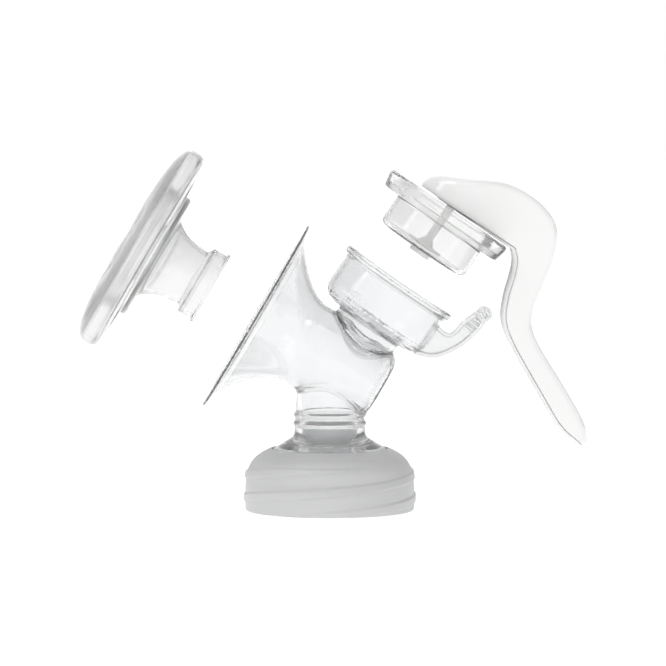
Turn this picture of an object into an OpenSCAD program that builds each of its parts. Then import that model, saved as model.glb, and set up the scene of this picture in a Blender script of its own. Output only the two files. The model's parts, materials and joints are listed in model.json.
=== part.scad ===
// Manual breast pump, laid out along the lines its parts are put together on:
// the massage cushion in front of the funnel, the diaphragm and handle above the cup.
// Millimetres, +Z up. The origin is the centre of the screw ring's lower face.

/* [Screw ring] */
// Outer radius of the ring at its widest
ring_r = 31.3; // [29:0.1:38]
// Height of the ring
ring_h = 23.2; // [20:0.1:30]
// Radius of the plain socket that slides over the bottle's neck
socket_r = 28.5; // [24:0.1:28.8]
// Depth of the plain socket below the thread
socket_h = 4; // [3:0.5:6]
// Radius inside the crests of the bottle thread
thread_crest_r = 27.1; // [23:0.1:28]
// Radius of the hole that the shoulder of the pump body passes through
collar_r = 21.4; // [18:0.1:24]

/* [Neck] */
// Outer radius of the neck where it meets the barrel
neck_r = 12.2; // [10:0.1:14]
// Wall of the neck
neck_wall = 1.8; // [1.2:0.1:2.5]
// Height of the point where the neck's and the barrel's axes cross
cross_h = 56.2; // [50:0.5:70]

/* [Barrel and funnel] */
// Outer radius of the barrel
barrel_r = 16.2; // [14:0.1:20]
// Wall of the barrel and the funnel
barrel_wall = 1.5; // [1.2:0.1:2]
// How far the barrel's axis leans from level, in degrees
barrel_tilt = 30.5; // [20:0.5:36]
// Length of the barrel behind the neck's axis
barrel_tail = 22.1; // [21:0.1:32]
// Radius that the barrel narrows to at its closed end
tail_end_r = 13.6; // [12:0.1:16]
// Radius of the funnel's rim
funnel_r = 38.5; // [35:0.1:47]
// Radius where the rim's flange turns into the funnel's cone
throat_r = 32.5; // [29:0.5:34]
// Length of the flared part
horn_len = 22; // [18:0.5:28]
// Distance from the neck's axis to the rim, along the barrel
funnel_reach = 32; // [30:0.5:42]

/* [Suction cup] */
// Outer radius of the cup's wall
cup_r = 21.6; // [18:0.1:26]
// Depth of the cup
cup_depth = 20.1; // [17:0.1:25]
// Wall of the cup
cup_wall = 1.8; // [1.2:0.1:2.2]
// How far the cup's axis leans towards the handle, in degrees
cup_tilt = 34.5; // [28:0.5:38]
// Distance of the cup's foot behind the neck's axis, along the barrel
cup_along = 6.4; // [4:0.1:8]
// Gap between the cup's floor and the barrel's top, bridged by a short tube
cup_stub = 1.95; // [1.6:0.05:5]

/* [Pivot arm] */
// Width of the arm
arm_w = 6.4; // [5:0.1:6.6]
// Distance of the pivot pin outside the cup's wall
pivot_out = 10.9; // [10.5:0.1:14]
// Height of the pivot pin above the cup's rim
pivot_rise = 7.3; // [7:0.1:9]
// Radius of the pivot pin
pin_r = 1.8; // [1.4:0.1:2.2]

/* [Diaphragm] */
// Height of the diaphragm's thick ring
seal_h = 6.6; // [6:0.1:8]
// How far the ring reaches down over the cup's rim
seal_grip = 2.34; // [2:0.02:3]
// Depth of the soft membrane below the ring
membrane_depth = 12.2; // [9:0.1:14]
// Wall of the membrane
membrane_t = 1.2; // [0.8:0.1:1.6]
// Radius of the ball on top of the stem
ball_r = 2.8; // [2.3:0.1:3]

/* [Handle] */
// Radius of the round end over the diaphragm
dome_r = 14.5; // [13:0.1:16]
// Width of the handle's grip
grip_w = 20; // [18:0.5:24]
// Wall of the outer shell
shell_wall = 1.6; // [1.2:0.1:2]
// Thickness of the inner frame along the grip
liner_t = 1.6; // [1.2:0.1:2]

/* [Massage cushion] */
// How far the cushion's edge stands out over the funnel's rim
cushion_edge = 1.7; // [1.2:0.1:3]
// Radius of the mouth
mouth_r = 13; // [12:0.1:14]
// Wall of the soft cushion
cushion_wall = 1.8; // [1.2:0.1:2]

/* [Layout] */
// Distance of the cushion from its seat in the funnel
cushion_pull = 47.5; // [0:0.5:60]
// Distance of the diaphragm and the handle from their seat on the cup
diaphragm_pull = 28; // [0:0.5:40]

/* [Hidden] */
$fn = 96;

// Gap between faces that pass each other, and the running gap round a pin
gap = 0.4;
pin_gap = 0.06;
// A length that carries a cut clear of the face it starts from
over = 1;

clear_tint = [0.90, 0.92, 0.93, 0.5];
frost_tint = [0.80, 0.81, 0.81];
soft_tint = [0.88, 0.89, 0.88, 0.8];
white_tint = [0.95, 0.95, 0.93];

neck_bore = neck_r - neck_wall;
barrel_bore = barrel_r - barrel_wall;
cup_bore = cup_r - cup_wall;
cup_stub_r = cup_r * 0.6;
cup_flange_r = cup_r + 1.5;
pivot_reach = cup_r + pivot_out;

// Flange of the shoulder, held under the ring's sloping roof
shoulder_z = ring_h - 3;
flange_r = socket_r - 2.3;
roof_slope = 0.48;

// Crossing of the axes, and the cup's foot and rim along them
barrel_dir = [cos(barrel_tilt), 0, -sin(barrel_tilt)];
barrel_up = [sin(barrel_tilt), 0, cos(barrel_tilt)];
cup_up = [sin(cup_tilt), 0, cos(cup_tilt)];
cross_point = [0, 0, cross_h];
cup_foot = cross_point + cup_along * barrel_dir + (barrel_r + cup_stub) * barrel_up;
cup_rim = cup_foot + cup_depth * cup_up;

function reverse(points) = [for (i = [len(points) - 1:-1:0]) points[i]];

// Arc round a centre, from one angle to another
function arc(centre, r, from, to, steps = 6) =
  [for (i = [0:steps]) let (a = from + (to - from) * i / steps) centre + r * [cos(a), sin(a)]];

// Smooth curve through points, with a number of steps between neighbours
function curve_at(a, b, c, d, u) =
  0.5 * (2 * b + (c - a) * u + (2 * a - 5 * b + 4 * c - d) * u * u + (3 * b - a - 3 * c + d) * u * u * u);
function curve(p, steps = 3) = concat(
  [for (i = [0:len(p) - 2], k = [0:steps - 1])
    curve_at(p[max(i - 1, 0)], p[i], p[i + 1], p[min(i + 2, len(p) - 1)], k / steps)],
  [p[len(p) - 1]]
);

// The same curve moved sideways, to the right of its direction
function unit(v) = v / norm(v);
function aside(p, by) = [
  for (i = [0:len(p) - 1])
    let (along = unit(p[min(i + 1, len(p) - 1)] - p[max(i - 1, 0)])) p[i] + by * [along[1], -along[0]]
];

// Frames of the sloping parts
module on_barrel(along = 0) {
  translate(cross_point) rotate([0, 90 + barrel_tilt, 0]) translate([0, 0, along]) children();
}

module on_cup(up = 0) {
  translate(cup_rim) rotate([0, cup_tilt, 0]) translate([0, 0, up]) children();
}

module side_cut(points, width) {
  rotate([90, 0, 0]) linear_extrude(height = width, center = true) polygon(points);
}

// Pump body: one clear moulding, in five plain stretches

horn_flare = 1.85;
rim_t = 1.9;
horn_steps = 9;
horn_outer = concat(
  [[funnel_r, 0], [funnel_r, 0.7], [funnel_r - 2.4, rim_t - 0.6], [throat_r + 0.9, rim_t - 0.1]],
  [for (i = [0:horn_steps]) let (u = i / horn_steps)
    [barrel_r + (throat_r - barrel_r) * pow(1 - u, horn_flare), rim_t + (horn_len - rim_t) * u]]
);
horn_inner = concat(
  [[funnel_r, 0], [throat_r - 0.9, 0]],
  [for (i = [1:horn_steps]) let (u = i / horn_steps, fall = pow(1 - u, horn_flare - 1),
      slope = (throat_r - barrel_r) * horn_flare * fall / (horn_len - rim_t))
    [barrel_bore + (throat_r - barrel_r) * pow(1 - u, horn_flare) - barrel_wall * (norm([1, slope]) - 1),
      rim_t + (horn_len - rim_t) * u]]
);

module funnel() {
  color(clear_tint) on_barrel(-funnel_reach)
    rotate_extrude() polygon(concat(horn_outer, reverse(horn_inner)));
}

module neck_hole() {
  cylinder(r = neck_bore, h = cross_h);
}

air_hole_r = 6;

module cup_air_hole() {
  on_cup(-cup_depth - cup_stub - barrel_r) cylinder(r = air_hole_r, h = cup_stub + barrel_r + cup_wall + over);
}

barrel_corner = 4.5;
barrel_len = barrel_tail + funnel_reach - horn_len;
// Length of the straight stretch that takes the cushion's tail
sleeve_len = 8.5;

// Half outline of the barrel's outside, or of its inside at the wall's depth
function barrel_side(depth) = let (corner = barrel_corner - depth) concat(
  [[barrel_r - depth, 0], [barrel_r - depth, sleeve_len]],
  arc([tail_end_r - barrel_corner, barrel_len - barrel_corner], corner, 5, 90),
  [[0, barrel_len - depth]]
);

module barrel_core() {
  on_barrel(horn_len - funnel_reach) rotate_extrude() polygon(concat([[0, 0]], barrel_side(0)));
  on_barrel(-funnel_reach) cylinder(r = barrel_r, h = horn_len + over);
}

module barrel() {
  color(clear_tint) difference() {
    on_barrel(horn_len - funnel_reach) rotate_extrude()
      polygon(concat(barrel_side(0), reverse(barrel_side(barrel_wall))));
    neck_hole();
    cup_air_hole();
  }
}

cup_corner = 5.5;
cup_lip_h = 2.6;

module suction_cup() {
  inner_corner = cup_corner - cup_wall;
  color(clear_tint) difference() {
    union() {
      on_cup() rotate_extrude() polygon(concat(
        [[cup_bore, 0], [cup_flange_r, 0], [cup_flange_r, -cup_lip_h + 0.6],
          [cup_flange_r - 0.6, -cup_lip_h], [cup_r, -cup_lip_h]],
        arc([cup_r - cup_corner, -cup_depth + cup_corner], cup_corner, 0, -90),
        [[0, -cup_depth], [0, -cup_depth + cup_wall]],
        arc([cup_bore - inner_corner, -cup_depth + cup_corner], inner_corner, -90, 0)
      ));
      difference() {
        on_cup(-cup_depth - cup_stub - barrel_r / 2)
          cylinder(r = cup_stub_r, h = cup_stub + barrel_r / 2 + 0.5);
        on_cup(-cup_depth - cup_stub - barrel_r)
          cylinder(r = cup_stub_r - cup_wall, h = cup_stub + barrel_r);
      }
    }
    barrel_core();
    cup_air_hole();
  }
}

bead_z = [32.3, 35.5];
bead_r = 0.9;
// Radius of the neck at a height
function neck_at(z) = neck_r + 0.9 * max(0, (cross_h - 12 - z) / 15);
foot_z = shoulder_z + 7;

module neck() {
  stay_r = collar_r - gap;
  color(clear_tint) difference() {
    union() {
      rotate_extrude() polygon([
        [neck_bore, foot_z - 5.5], [neck_bore, cross_h], [neck_r, cross_h], [neck_r, cross_h - 12],
        [neck_at(foot_z + 2), foot_z + 2], [neck_at(foot_z) + 0.2, foot_z],
        [collar_r - 4.2, foot_z - 2.1], [stay_r - 0.5, shoulder_z + 3], [stay_r, shoulder_z + 2.5],
        [stay_r, shoulder_z], [flange_r - 0.8, shoulder_z - roof_slope * (flange_r - 0.8 - stay_r)],
        [flange_r, shoulder_z - 3.2], [flange_r, shoulder_z - 4.6], [flange_r - 1.8, shoulder_z - 4.6],
        [stay_r - 1.9, shoulder_z - 2.2], [stay_r - 1.9, shoulder_z + 1.2],
        [neck_bore + 4, foot_z - 3.5], [neck_bore + 1.5, foot_z - 5.5]
      ]);
      for (z = bead_z)
        translate([0, 0, z]) rotate_extrude() translate([neck_at(z) - 0.2, 0]) circle(r = bead_r, $fn = 24);
    }
    barrel_core();
  }
}

boss_r = 2.83;
web_t = 2;
edge_t = 1.5;
pin_half = arm_w / 2 + 3;
// Outline of the arm, measured outwards from the cup's wall and upwards from its rim
arm_under = curve([[-1.6, -20], [4.2, -16.9], [8.4, -11.9], [11.4, -5.5], [12.9, 2], [12.6, 7]]);
arm_over = curve([[8.7, 8.4], [7.2, 4.2], [5.8, 0], [5.4, -4.4], [3.4, -6.5], [-1.6, -5.6]]);

module pivot_arm() {
  bend = [for (p = concat(arm_under, arm_over)) p + [cup_r, 0]];
  pocket = [for (p = concat(aside(arm_under, -edge_t), aside(arm_over, -edge_t))) p + [cup_r, 0]];
  color(clear_tint) on_cup() difference() {
    union() {
      side_cut(bend, arm_w);
      translate([pivot_reach, 0, pivot_rise]) rotate([90, 0, 0]) {
        cylinder(r = boss_r, h = arm_w, center = true);
        cylinder(r = pin_r, h = 2 * pin_half, center = true);
      }
    }
    for (side = [-1, 1]) difference() {
      translate([0, side * (web_t + arm_w) / 2, 0]) side_cut(pocket, arm_w);
      translate([pivot_reach, 0, pivot_rise]) rotate([90, 0, 0])
        cylinder(r = boss_r, h = 3 * arm_w, center = true);
    }
    translate([0, 0, -2 * cup_depth]) cylinder(r = cup_r, h = 2 * cup_depth);
  }
}

valve_top_r = neck_bore - 0.1;
valve_t = 1.5;
bill_len = 14;
bill_w = 2 * valve_top_r - 4;

// Soft one-way valve pushed up into the neck, with a flat bill that closes on a slit
module bill(grow) {
  low = -bill_len - (grow < 0 ? over : 0);
  slit = 0.9 + grow;
  root = bill_w / 2 + grow;
  intersection() {
    side_cut([[-root, 0.02], [-slit, -bill_len], [-slit, low], [slit, low], [slit, -bill_len], [root, 0.02]],
      bill_w + 2 * grow);
    translate([0, 0, low]) cylinder(r = root + 0.4, h = over - low);
  }
}

module duckbill_valve() {
  seat_z = foot_z - 5.5;
  color(white_tint) translate([0, 0, seat_z]) difference() {
    union() {
      rotate_extrude() polygon([
        [0, -valve_t], [neck_bore + 1.6, -valve_t], [neck_bore + 1.6, 0], [valve_top_r, 0],
        [valve_top_r, 8.2], [valve_top_r - 0.6, 8.8], [valve_top_r - valve_t, 8.8], [valve_top_r - valve_t, 1],
        [0, 1]
      ]);
      translate([0, 0, -valve_t]) bill(0);
    }
    translate([0, 0, -valve_t]) bill(-0.65);
    translate([0, 0, -valve_t]) cylinder(r = bill_w / 2 - 1.2, h = 2 * valve_t + over);
  }
}

thread_parts = 6;
thread_pitch = 4;
thread_z = socket_h + 3;
// Where the ring's side turns into its roof
turn_z = ring_h * 0.6;

module screw_ring() {
  socket_step = 0.3;
  side_r = socket_r - socket_step;
  lug_turn = 52;
  roof_z = shoulder_z + gap;
  color(frost_tint) union() {
    rotate_extrude() polygon([
      [socket_r, 0], [ring_r - 0.25, 0], [ring_r, 0.8], [ring_r, 10], [ring_r - 0.5, turn_z + 0.5],
      [ring_r - 1.3, turn_z + 2.8], [ring_r - 2.6, turn_z + 4.6],
      [ring_r - 4.4, turn_z + 6.2], [ring_r - 7.1, ring_h - 1.2], [collar_r + 0.4, ring_h],
      [collar_r, ring_h - 0.3], [collar_r, roof_z],
      [side_r - 2.4, roof_z - roof_slope * (side_r - 2.4 - collar_r)],
      [side_r, turn_z + 1], [side_r, socket_h], [socket_r, socket_h]
    ]);
    for (i = [0:thread_parts - 1]) {
      z = thread_z + thread_pitch * i / thread_parts;
      rotate([0, 0, i * 360 / thread_parts]) rotate_extrude(angle = lug_turn)
        polygon([[side_r + 0.3, z - 1.1], [thread_crest_r, z - 0.4], [thread_crest_r, z + 0.4],
          [side_r + 0.3, z + 1.1]]);
    }
  }
}

// How far the cushion's reference face stands in front of the funnel's rim when seated
cushion_proud = 1.3;
lip_z = 3;
lip_bore = funnel_r + gap;
cushion_r = lip_bore + cushion_edge;
step_r = 24.6;
step_z = 7.6;
tunnel_r = 9.4;
tail_r = barrel_bore - gap;

module on_cushion() {
  on_barrel(-funnel_reach - cushion_proud - cushion_pull) children();
}

module massage_cushion() {
  w = cushion_wall;
  color(soft_tint) on_cushion() rotate_extrude() polygon([
    [mouth_r, -6.4], [mouth_r + 0.6, -7.1], [mouth_r + 2, -7.4], [29, -6.5], [lip_bore - 2.9, -5],
    [cushion_r - 1.8, -3.6], [cushion_r - 0.5, -2], [cushion_r, 0], [cushion_r - 0.2, lip_z], [lip_bore, lip_z],
    [lip_bore, -1.6], [lip_bore - 3.4, -5 + w], [step_r + 1.6, -6.5 + w + 1.2], [step_r, 1.2], [step_r, step_z - 1.4],
    [step_r - 1.2, step_z - 0.2], [mouth_r + 3, step_z], [mouth_r + 0.2, step_z], [mouth_r + 1, 6],
    [step_r - w, 5.4], [step_r - w, -6.5 + w + 1.2], [mouth_r + 2, -7.4 + w], [mouth_r, -5.9]
  ]);
}

// The sleeve behind the step, which the nipple is drawn into
module cushion_sleeve() {
  color(soft_tint) on_cushion() rotate_extrude() polygon([
    [mouth_r + 3, step_z], [mouth_r + 1.4, 8.6], [tunnel_r + 2.6, 13.2], [tunnel_r + 1.4, 19],
    [tunnel_r + 1.4, 22.2], [tail_r - 1, 23.4], [tail_r - 1, 28.6], [tail_r, 29.2], [tail_r, 30.1],
    [tunnel_r + 2.4, 30.1], [tunnel_r + 2.4, 24.6], [tunnel_r, 22.2], [tunnel_r, 19], [tunnel_r + 1.1, 13.2],
    [mouth_r - 0.2, 8], [mouth_r + 0.2, step_z]
  ]);
}

// The cushion's back edge, soft enough to stretch over the funnel's rim
module cushion_lip() {
  color(soft_tint) on_cushion() rotate_extrude() polygon([
    [lip_bore + 0.1, lip_z], [cushion_r - 0.4, lip_z], [cushion_r - 1.4, lip_z + 0.9],
    [throat_r - 0.8, lip_z + 1.8], [throat_r - 1, lip_z + 1.1]
  ]);
}

seal_bore = cup_bore - 2.5;
seal_r = cup_flange_r + 2.4;
channel_roof = seal_grip + gap;

module on_diaphragm() {
  on_cup(diaphragm_pull - seal_grip) children();
}

module diaphragm_ring() {
  channel_in = cup_bore - gap;
  channel_out = cup_flange_r + gap;
  color(soft_tint) on_diaphragm() rotate_extrude() polygon(concat(
    [[seal_bore, 0], [channel_in, 0], [channel_in, channel_roof], [channel_out, channel_roof], [channel_out, 0],
      [seal_r - 0.5, 0], [seal_r - 0.3, 0.4]],
    arc([seal_r - 0.6, seal_h - 0.8], 0.8, 0, 90, 3),
    arc([seal_bore + 0.8, seal_h - 0.8], 0.8, 90, 180, 3)
  ));
}

membrane_r = cup_bore - 1.3;
membrane_corner = 2.5;
rod_r = 1.7;

module diaphragm_membrane() {
  inner_corner = membrane_corner - membrane_t;
  color(soft_tint) on_diaphragm() rotate_extrude() polygon(concat(
    [[membrane_r - membrane_t, 0], [membrane_r, 0]],
    arc([membrane_r - membrane_corner, -membrane_depth + membrane_corner], membrane_corner, 0, -90),
    [[rod_r + pin_gap, -membrane_depth], [rod_r + pin_gap, -membrane_depth + membrane_t]],
    arc([membrane_r - membrane_corner, -membrane_depth + membrane_corner], inner_corner, -90, 0)
  ));
}

foot_r = 4.2;
foot_h = 1.7;
plate_r = 7;
plate_h = 1.3;
// Heights above the ring's top: the fork's upper face, and the ball's centre
fork_top = 2.4;
fork_t = 1.4;
ball_rise = fork_top + 0.85 + ball_r;

module stem() {
  slip = 0.1;
  floor_top = -membrane_depth + membrane_t + slip;
  color(white_tint) on_diaphragm() {
    translate([0, 0, -membrane_depth - slip - foot_h]) cylinder(r = foot_r, h = foot_h);
    translate([0, 0, -membrane_depth - slip - foot_h / 2])
      cylinder(r = rod_r, h = membrane_depth + slip + foot_h / 2 + seal_h + ball_rise - ball_r / 2);
    translate([0, 0, floor_top]) cylinder(r = plate_r, h = plate_h);
    translate([0, 0, floor_top + plate_h]) cylinder(r1 = rod_r + 1.6, r2 = rod_r, h = 3);
    translate([0, 0, seal_h + ball_rise]) sphere(r = ball_r, $fn = 48);
  }
}

// The handle's outlines are drawn from its pivot pin, outwards and upwards as the cup stands.
// Points before the pin are stretched with its distance from the stem.
drawn_reach = 32.5;
function drawn(points) = [for (p = points) [p[0] < 0 ? p[0] * pivot_reach / drawn_reach : p[0], p[1]]];
under_z = -2.6;
seal_top_z = seal_h - seal_grip - pivot_rise;
back_line = curve(drawn([
  [-46.9, under_z], [-45.6, 1.8], [-41.5, 5.4], [-33, 9.8], [-21, 16.3], [-8, 17.7], [2.5, 14.4], [8.2, 6.2],
  [11.4, -6], [14.2, -17.3], [20.5, -24.5], [38.8, -33], [52.1, -39.5], [57.9, -44.8], [58.1, -47.6]
]));
palm_line = curve(drawn([
  [54.7, -48.5], [45.5, -47], [31, -40.4], [14, -32], [6.5, -26.4], [2.3, -19], [-0.6, -10.5],
  [-2.9, -5.6], [-5.9, under_z]
]));

module on_handle() {
  on_cup(pivot_rise + diaphragm_pull) translate([pivot_reach, 0, 0]) children();
}

// The handle seen along the cup's axis: a round end that runs into a straight grip
module plan(inset) {
  translate([0, 0, -60]) linear_extrude(height = 90) {
    translate([-pivot_reach, 0]) circle(r = dome_r - inset);
    translate([-pivot_reach, inset - grip_w / 2]) square([pivot_reach + 60 - inset, grip_w - 2 * inset]);
  }
}

// Space inside the shell, open along the palm side and under the round end
module hollow() {
  intersection() {
    union() {
      side_cut(concat(aside(back_line, shell_wall), aside(palm_line, -over)), 2 * dome_r);
      translate([shell_wall - pivot_reach - dome_r, -dome_r, under_z - over])
        cube([pivot_reach + dome_r - 6 - shell_wall, 2 * dome_r, 2]);
    }
    plan(shell_wall);
    translate([-2 * pivot_reach, -dome_r, -100]) cube([2 * pivot_reach + 53, 2 * dome_r, 200]);
  }
}

module handle_shell() {
  color(white_tint) on_handle() difference() {
    intersection() {
      side_cut(concat(back_line, aside(palm_line, liner_t + 0.1)), 2 * dome_r);
      plan(0);
    }
    hollow();
  }
}

rib_in = arm_w / 2 + gap;
rib_t = 2.4;
// How far the ribs, and the opening for the arm, run down the palm side
rib_end = -17;
opening_end = -34;

module fork() {
  low = seal_top_z + fork_top - fork_t;
  slot = rod_r + gap;
  translate([0, 0, low]) linear_extrude(height = fork_t) difference() {
    translate([-pivot_reach, 0]) circle(r = dome_r - shell_wall - 1);
    translate([-pivot_reach, 0]) circle(r = slot);
    translate([-2 * pivot_reach, -slot]) square([pivot_reach, 2 * slot]);
  }
}

module handle_frame() {
  rib_out = rib_in + rib_t;
  web = [[-14, seal_top_z + 0.9], [-5.2, seal_top_z + 0.9], [-3.6, seal_top_z + 2.4], [-14, seal_top_z + 2.4]];
  color(white_tint) on_handle() {
    intersection() {
      difference() {
        side_cut(concat(palm_line, reverse(aside(palm_line, liner_t))), 2 * dome_r);
        translate([-pivot_reach, -rib_out - 2 * gap, opening_end])
          cube([2 * pivot_reach, 2 * rib_out + 4 * gap, 60]);
      }
      plan(0);
    }
    for (side = [-1, 1]) difference() {
      intersection() {
        translate([0, side * (rib_in + rib_t / 2), 0])
          side_cut(concat(aside(back_line, shell_wall + 0.05), palm_line), rib_t);
        translate([-pivot_reach + dome_r - 4, -dome_r, rib_end]) cube([2 * pivot_reach, 2 * dome_r, 60]);
      }
      rotate([90, 0, 0]) cylinder(r = pin_r + pin_gap, h = 2 * dome_r, center = true);
      translate([-pin_r - pin_gap, -dome_r, -60]) cube([2 * (pin_r + pin_gap), 2 * dome_r, 60]);
    }
    for (side = [-1, 1])
      translate([0, side * (rib_in + grip_w / 2 - shell_wall) / 2, 0])
        side_cut(web, grip_w / 2 - shell_wall - rib_in - 0.1);
    fork();
  }
}

funnel();
barrel();
suction_cup();
neck();
pivot_arm();
duckbill_valve();
screw_ring();
massage_cushion();
cushion_sleeve();
cushion_lip();
diaphragm_ring();
diaphragm_membrane();
stem();
handle_shell();
handle_frame();
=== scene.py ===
"""Looks of a manual breast pump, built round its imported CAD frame.

Lengths inside the shaping functions are in millimetres; meshes are made in metres.
"""

import json
import math

import bpy
import numpy as np
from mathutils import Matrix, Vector


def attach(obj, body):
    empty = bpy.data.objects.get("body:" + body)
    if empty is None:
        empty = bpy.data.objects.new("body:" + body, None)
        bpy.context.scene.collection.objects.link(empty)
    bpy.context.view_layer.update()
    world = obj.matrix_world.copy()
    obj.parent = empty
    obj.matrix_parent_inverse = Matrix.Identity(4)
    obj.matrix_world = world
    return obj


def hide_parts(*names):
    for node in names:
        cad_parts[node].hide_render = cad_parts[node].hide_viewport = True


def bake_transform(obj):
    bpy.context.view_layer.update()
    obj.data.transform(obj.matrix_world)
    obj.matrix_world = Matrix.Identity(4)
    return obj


bl_info = {
    "name": "Breast Pump Looks",
    "version": (1, 0, 0),
    "blender": (4, 5, 0),
    "location": "3D View > Sidebar > Breast Pump",
    "description": "Builds the clear, soft and glossy pieces of a manual breast pump on its frame",
    "category": "Object",
}

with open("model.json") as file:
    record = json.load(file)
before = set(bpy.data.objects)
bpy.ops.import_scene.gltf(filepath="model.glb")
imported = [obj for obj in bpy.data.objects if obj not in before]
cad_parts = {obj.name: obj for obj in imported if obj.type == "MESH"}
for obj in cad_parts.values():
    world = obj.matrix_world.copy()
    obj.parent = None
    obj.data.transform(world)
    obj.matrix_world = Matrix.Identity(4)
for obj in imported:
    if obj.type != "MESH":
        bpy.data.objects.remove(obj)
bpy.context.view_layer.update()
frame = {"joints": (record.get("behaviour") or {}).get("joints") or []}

MM = 0.001
GAP = 0.4
BEYOND = 30.0
joints = {joint["name"]: joint for joint in frame["joints"]}


# ---------------------------------------------------------------------------
# Frames of the sloping parts, taken from the joints
# ---------------------------------------------------------------------------

class Stand:
    """A place with its own axes: x and z lie in the pump's middle plane, y crosses it."""

    def __init__(self, origin, up):
        self.origin = np.array(origin, float)
        self.up = np.array(up, float) / np.linalg.norm(up)
        self.across = np.array([0.0, 1.0, 0.0])
        self.out = np.cross(self.across, self.up)

    def moved(self, up=0.0, out=0.0):
        return Stand(self.origin + up * self.up + out * self.out, self.up)

    def place(self, x, y, z):
        """World points of local ones."""
        return (self.origin + np.multiply.outer(x, self.out) + np.multiply.outer(y, self.across)
                + np.multiply.outer(z, self.up))

    def local(self, points):
        away = points - self.origin
        return away @ self.out, away @ self.across, away @ self.up

    def ring_and_rise(self, points):
        x, y, z = self.local(points)
        return np.hypot(x, y), z


CROSS_HEIGHT = 56.2
PIVOT_REACH = 32.5
PIVOT_RISE = 7.3
FUNNEL_REACH = 32.0
CUSHION_PROUD = 1.3
SEAL_GRIP = 2.34

barrel_axis = np.array(joints["cushion_seat"]["axis"], float)
cup_axis = -np.array(joints["diaphragm_seat"]["axis"], float)
cushion_pull = joints["cushion_seat"]["range_m"][1] / MM
cup_pull = joints["diaphragm_seat"]["range_m"][1] / MM
pin_place = np.array(joints["handle_squeeze"]["pos_m"], float) / MM

post = Stand((0, 0, 0), (0, 0, 1))
crossing = Stand((0, 0, CROSS_HEIGHT), barrel_axis)
funnel_rim = crossing.moved(up=-FUNNEL_REACH)
pin = Stand(pin_place, cup_axis)
cup_rim = pin.moved(up=-cup_pull - PIVOT_RISE, out=-PIVOT_REACH)
seal = cup_rim.moved(up=cup_pull - SEAL_GRIP)
cushion_face = funnel_rim.moved(up=-CUSHION_PROUD - cushion_pull)


# ---------------------------------------------------------------------------
# Sizes and colours that a user may change
# ---------------------------------------------------------------------------

def length(name, description, default_mm):
    return bpy.props.FloatProperty(
        name=name, description=description, default=default_mm * MM, min=0.0, unit="LENGTH", precision=5)


def tint(name, description, default):
    return bpy.props.FloatVectorProperty(
        name=name, description=description, default=default, min=0.0, max=1.0, size=3, subtype="COLOR")


class BodySizes(bpy.types.PropertyGroup):
    funnel_radius: length("Funnel radius", "Radius of the funnel's rim", 38.5)
    barrel_radius: length("Barrel radius", "Outer radius of the barrel", 16.2)
    cup_radius: length("Cup radius", "Outer radius of the suction cup", 21.6)
    cup_depth: length("Cup depth", "Depth of the suction cup", 20.1)
    neck_radius: length("Neck radius", "Outer radius of the neck at the barrel", 12.2)
    wall: length("Wall", "Wall of the barrel and the funnel", 1.5)
    grain: length("Grain", "Spacing of the sculpting grid", 0.7)
    arm_grain: length("Arm grain", "Spacing of the sculpting grid on the pivot arm", 0.28)
    colour: tint("Colour", "Tint of the clear plastic", (0.93, 0.935, 0.94))


class RingSizes(bpy.types.PropertyGroup):
    radius: length("Radius", "Outer radius of the screw ring", 31.3)
    height: length("Height", "Height of the screw ring", 23.2)
    socket_radius: length("Socket radius", "Radius of the plain socket", 28.5)
    ridge: length("Ridge", "How far the grip ridges stand out", 0.6)
    colour: tint("Colour", "Colour of the frosted plastic", (0.74, 0.742, 0.746))


class CushionSizes(bpy.types.PropertyGroup):
    radius: length("Radius", "Outer radius of the massage cushion", 40.6)
    mouth_radius: length("Mouth radius", "Radius of the cushion's mouth", 13.0)
    wall: length("Wall", "Wall of the soft cushion", 1.8)
    petals: bpy.props.IntProperty(name="Petals", description="Number of massaging petals", default=5, min=3)
    colour: tint("Colour", "Tint of the soft silicone", (0.99, 0.992, 0.99))


class DiaphragmSizes(bpy.types.PropertyGroup):
    depth: length("Depth", "Depth of the membrane below the ring", 12.2)
    ring_height: length("Ring height", "Height of the thick ring", 6.6)
    membrane: length("Membrane", "Wall of the membrane", 1.2)
    ball: length("Ball", "Radius of the ball on the stem", 2.8)
    colour: tint("Colour", "Tint of the diaphragm", (0.96, 0.963, 0.96))


class HandleSizes(bpy.types.PropertyGroup):
    dome_radius: length("Round end", "Radius of the round end over the diaphragm", 14.5)
    grip_width: length("Grip width", "Width of the grip", 20.0)
    wall: length("Wall", "Wall of the outer shell", 1.6)
    liner: length("Frame", "Thickness of the inner frame on the palm side", 1.6)
    grain: length("Grain", "Spacing of the sculpting grid", 0.5)
    colour: tint("Colour", "Colour of the glossy plastic", (0.85, 0.85, 0.845))


class PumpSettings(bpy.types.PropertyGroup):
    body: bpy.props.PointerProperty(type=BodySizes)
    ring: bpy.props.PointerProperty(type=RingSizes)
    cushion: bpy.props.PointerProperty(type=CushionSizes)
    diaphragm: bpy.props.PointerProperty(type=DiaphragmSizes)
    handle: bpy.props.PointerProperty(type=HandleSizes)


# ---------------------------------------------------------------------------
# Outlines
# ---------------------------------------------------------------------------

def rounded(corners, steps=5):
    """Closed outline through (u, v, radius) corners, each turned through a short curve."""
    outline = []
    count = len(corners)
    for i, (u, v, radius) in enumerate(corners):
        here = np.array([u, v], float)
        if radius <= 0:
            outline.append(here)
            continue
        before = np.array(corners[i - 1][:2], float)
        after = np.array(corners[(i + 1) % count][:2], float)
        reach_in = min(radius, np.linalg.norm(before - here) * 0.45)
        reach_out = min(radius, np.linalg.norm(after - here) * 0.45)
        first = here + (before - here) / np.linalg.norm(before - here) * reach_in
        last = here + (after - here) / np.linalg.norm(after - here) * reach_out
        for s in np.linspace(0, 1, steps + 1):
            outline.append((1 - s) ** 2 * first + 2 * s * (1 - s) * here + s * s * last)
    return [tuple(point) for point in outline]


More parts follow.
